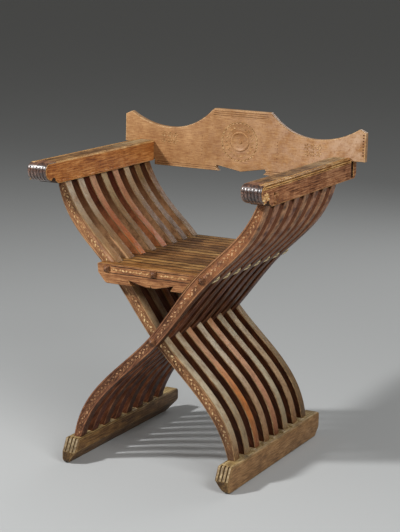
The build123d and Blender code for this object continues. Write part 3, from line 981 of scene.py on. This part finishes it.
# ---------------------------------------------------------------- seat
def make_slats(side, body, count):
    """Seat slats: tops with rounded dark rims, and pale end grain at their free ends."""
    sign = sign_of(side)
    for number in range(1, count + 1):
        node = f"{side}_seat_slat_{number}"
        slat = copy_of(node, f"{node}_wood")
        wood = seat_woods[(number * 2 + (side == "right")) % len(seat_woods)]
        woods = [wood, slat_end_wood, seat_edge_wood]
        paint(slat, woods, lambda c, n: slat_end_wood if n.x * sign > 0.5 else wood)
        soften(slat, 1.0, seat_edge_wood)
        round_top(slat, 3.2, seat_edge_wood)
        finish_piece(slat, body, "walnut_seat", node)


make_slats("left", "seat_left", 7)
make_slats("right", "seat_right", 8)

# Apron: a row of small leaves between two incised lines, along the level of the rods.
apron = copy_of("seat_apron", "seat_apron_wood")
paint(
    apron,
    [apron_wood, seat_woods[0], apron_edge_wood, groove_wood],
    lambda c, n: seat_woods[0] if n.z > 0.9 else apron_wood,
)
soften(apron, 0.9, apron_edge_wood)
heights = (mm(467.5), mm(483.5))
cut(apron, [gouge((mm(-112), RIGHT_FRONT, z), (mm(90), RIGHT_FRONT, z), 1.0) for z in heights])


def in_apron_line(centre, normal):
    """True on the walls of the apron's incised lines."""
    sunk = mm(0.1) < centre.y - RIGHT_FRONT < mm(0.8)
    return sunk and normal.y < -0.5 and 0.3 < abs(normal.z) < 0.9


repaint(apron, groove_wood, in_apron_line)
finish_piece(apron, "seat_left", "walnut_seat", "seat_apron")
apron_leaf = carved_leaf(10.0, 4.6, 1.2)
row = [mm(x) for x in range(-106, 92, 9) if abs(x) > 12]
apron_carving = scattered(
    apron_leaf,
    "apron_leaves",
    [
        (Vector((x, RIGHT_FRONT, mm(475.5))), math.radians(24 if index % 2 else -24), 1.0)
        for index, x in enumerate(row)
    ],
)
apron_carving.data.materials.append(cut_apron)
finish_piece(apron_carving, "seat_left", "walnut_seat")


# ---------------------------------------------------------------- rod heads and caps
# Each rod has a head in front and a cap behind, and both move with the body named here.
RODS = {
    "crossing_rod": "crossing",
    "left_seat_rod": "left_frame",
    "middle_seat_rod": "seat_left",
    "right_seat_rod": "right_frame",
}
for rod, body in RODS.items():
    for node in (rod, f"{rod}_cap"):
        head = copy_of(node, f"{node}_wood")
        paint(head, [head_wood], lambda c, n: head_wood)
        soften(head, 1.0, head_wood)
        edit(head, tip_joined)
        finish_piece(head, body, "walnut_peg", node)


# ---------------------------------------------------------------- back board
BOARD_FRONT = mm(235.45)
BOARD_END = mm(325)  # past it the board's ends are rounded
NOTCH_INNER, NOTCH_OUTER, NOTCH_TOP = mm(240), mm(290), mm(708)  # round the notches over the arms
ROUNDEL = Vector((mm(-5), BOARD_FRONT, mm(731)))


def board_line(x1, z1, x2, z2, radius=0.7):
    """A gouge cutter along the board's front, from one point to another in mm."""
    return gouge((mm(x1), BOARD_FRONT, mm(z1)), (mm(x2), BOARD_FRONT, mm(z2)), radius)


def round_places(count, radius, lean, size=1.0, sunk=0.0):
    """Places on a circle round the roundel, each motif turned outwards and leant by some degrees.
    sunk is how far the ground under them lies behind the board's front."""
    places = []
    for index in range(count):
        turn = 2 * math.pi * index / count
        spot = ROUNDEL + Vector((math.cos(turn), 0, math.sin(turn))) * mm(radius)
        spot.y += mm(sunk)
        places.append((spot, -(turn + math.radians(lean)), size))
    return places


def cluster_places(x, z):
    """A bunch of three by two five-petalled flowers, 48 mm wide, round a middle point."""
    places = []
    for column in (-16, 0, 16):
        for line in (-8, 8):
            for petal in range(5):
                turn = 2 * math.pi * petal / 5
                spot = Vector((mm(x + column), BOARD_FRONT, mm(z + line)))
                spot += Vector((math.cos(turn), 0, math.sin(turn))) * mm(4.8)
                places.append((spot, -turn, 0.85))
    return places


def roundel_cutter():
    """What a turner would take out of the board for the roundel: a shallow outer hollow, a raised
    rim, a dish inside it and a button in the middle.  Each step is (inwards, deeper) in mm."""
    bpy.ops.object.select_all(action="DESELECT")
    bpy.ops.mesh.primitive_cylinder_add(
        vertices=72,
        radius=mm(45.5),
        depth=mm(6),
        location=ROUNDEL - Vector((0, mm(2.8), 0)),
        rotation=(math.radians(90), 0, 0),
    )
    cutter = bpy.context.active_object
    bpy.ops.object.transform_apply()
    pick(cutter, lambda c, n: n.y > 0.9)
    for inwards, deeper in (
        (5.5, 0.9), (12, 0.9), (2.6, 0.7), (0.9, -2.3), (3.2, -0.1), (4.0, 1.5), (8.5, 0.8),
        (2.5, 0.2), (1.0, -1.7), (2.3, -0.4),
    ):
        bpy.ops.mesh.inset(thickness=mm(inwards), depth=mm(deeper))
    bpy.ops.object.mode_set(mode="OBJECT")
    return cutter


board = copy_of("back_board", "back_board_wood")
paint(board, [board_wood, board_edge_wood, board_groove_wood], lambda c, n: board_wood)
soften(board, 0.6, board_edge_wood)
# Three lines lie under the crest, and two along the lower edge on each side.  Short notches step
# up the right end, and a column of dots stands on each side of the roundel.
lines = [roundel_cutter()]
lines += [board_line(-74 - 2 * n, 803.5 - 5 * n, 72 + 2 * n, 803.5 - 5 * n) for n in range(3)]
for low in (659, 664):
    lines.append(board_line(-236, low, -66, low))
    lines.append(board_line(58, low, 236, low))
lines += [board_line(319.5, 724 + 7 * n, 324, 724 + 7 * n, 1.5) for n in range(8)]
lines += [
    board_line(x, 690 + 8 * n, x + 1.6, 690 + 8 * n, 1.1) for x in (97, -109) for n in range(7)
]
cut(board, lines)
edit(board, slivers_gone)


def in_board_line(centre, normal):
    """True on the walls of the board's incised lines and notches, and not on its rounded ends."""
    sunk = mm(0.15) < centre.y - BOARD_FRONT < mm(0.9)
    return sunk and -0.95 < normal.y < -0.5 and abs(centre.x) < BOARD_END


def in_arm_notch(centre, normal):
    """True on the sides of the notches that sit over the arms."""
    between = NOTCH_INNER < abs(centre.x) < NOTCH_OUTER and centre.z < NOTCH_TOP
    return between and abs(normal.x) > 0.9


repaint(board, board_groove_wood, in_board_line)
# The notch sides over the arms take the dark groove wood: painted shade in the gap between board
# and arm.
repaint(board, board_groove_wood, in_arm_notch)
finish_piece(board, "back_board", "walnut_board", "back_board")
board_leaf = carved_leaf(8.4, 4.0, 1.3)
board_carvings = {
    "roundel_wreath": round_places(30, 47.8, 70),
    "roundel_petals": round_places(22, 35.5, 40, 1.0, 1.5),
    "right_flowers": cluster_places(192, 727),
    "left_flowers": cluster_places(-200, 727),
}
for name, places in board_carvings.items():
    carving = scattered(board_leaf, f"board_{name}", places)
    carving.data.materials.append(board_cut_wood)
    finish_piece(carving, "back_board", "walnut_board")
for model in (leaf_model, seed_model, lobe_model, apron_leaf, board_leaf, tab_model, foot_leaf):
    bpy.data.objects.remove(model)


# ---------------------------------------------------------------- floor, lamps and camera
# Matt paper, a middle grey that shows the chair's soft shadow.
bpy.ops.object.select_all(action="DESELECT")
bpy.ops.mesh.primitive_plane_add(size=60, location=(0, 0, 0))
floor = bpy.context.active_object
floor.name = "studio_floor"
floor_paper = new_material("matt_grey_studio_paper")
tree = floor_paper.node_tree
paper = put(
    tree, "ShaderNodeBsdfPrincipled", {"Base Color": linear("#B2B4B4"), "Roughness": 0.9}
)
put(tree, "ShaderNodeOutputMaterial", {"Surface": paper.outputs["BSDF"]})
floor.data.materials.append(floor_paper)

world = bpy.data.worlds.new("studio_air")
bpy.context.scene.world = world
world.use_nodes = True
world.node_tree.nodes["Background"].inputs["Color"].default_value = linear("#E2E0DC")
world.node_tree.nodes["Background"].inputs["Strength"].default_value = 0.16


def add_lamp(name, place, target, size, power):
    """A square softbox of that size in metres, turned to its target."""
    bpy.ops.object.select_all(action="DESELECT")
    bpy.ops.object.light_add(type="AREA", location=place)
    lamp = bpy.context.active_object
    lamp.name = name
    lamp.data.size = size
    lamp.data.energy = power
    lamp.rotation_euler = (Vector(target) - Vector(place)).to_track_quat("-Z", "Y").to_euler()


add_lamp("key_softbox", (-1.9, -2.3, 2.7), (0, 0, 0.45), 0.35, 142)
add_lamp("fill_softbox", (2.4, -1.6, 2.3), (0, 0, 0.4), 1.6, 66)
add_lamp("back_softbox", (0.3, 3.0, 2.1), (0, 0, 0.4), 1.5, 22)

# The camera stands in front and to the right, above the back board, and looks slightly down.
CAMERA_PLACE = (1.6886, -3.3712, 1.2563)
CAMERA_YAW = math.radians(26.44)
CAMERA_PITCH = math.radians(-11.93)
CAMERA_ROLL = math.radians(1.49)
forward = Vector(
    (
        -math.sin(CAMERA_YAW) * math.cos(CAMERA_PITCH),
        math.cos(CAMERA_YAW) * math.cos(CAMERA_PITCH),
        math.sin(CAMERA_PITCH),
    )
)
level = Vector((math.cos(CAMERA_YAW), math.sin(CAMERA_YAW), 0))
upright = level.cross(forward)
across = math.cos(CAMERA_ROLL) * level + math.sin(CAMERA_ROLL) * upright
upwards = -math.sin(CAMERA_ROLL) * level + math.cos(CAMERA_ROLL) * upright
bpy.ops.object.camera_add()
camera = bpy.context.active_object
camera.matrix_world = Matrix.Translation(CAMERA_PLACE) @ Matrix(
    (across, upwards, -forward)
).transposed().to_4x4()
camera.data.sensor_fit = "HORIZONTAL"
camera.data.sensor_width = 36
camera.data.lens = 145.7
camera.data.clip_end = 100
bpy.context.scene.camera = camera
bpy.context.scene.view_settings.view_transform = "Standard"
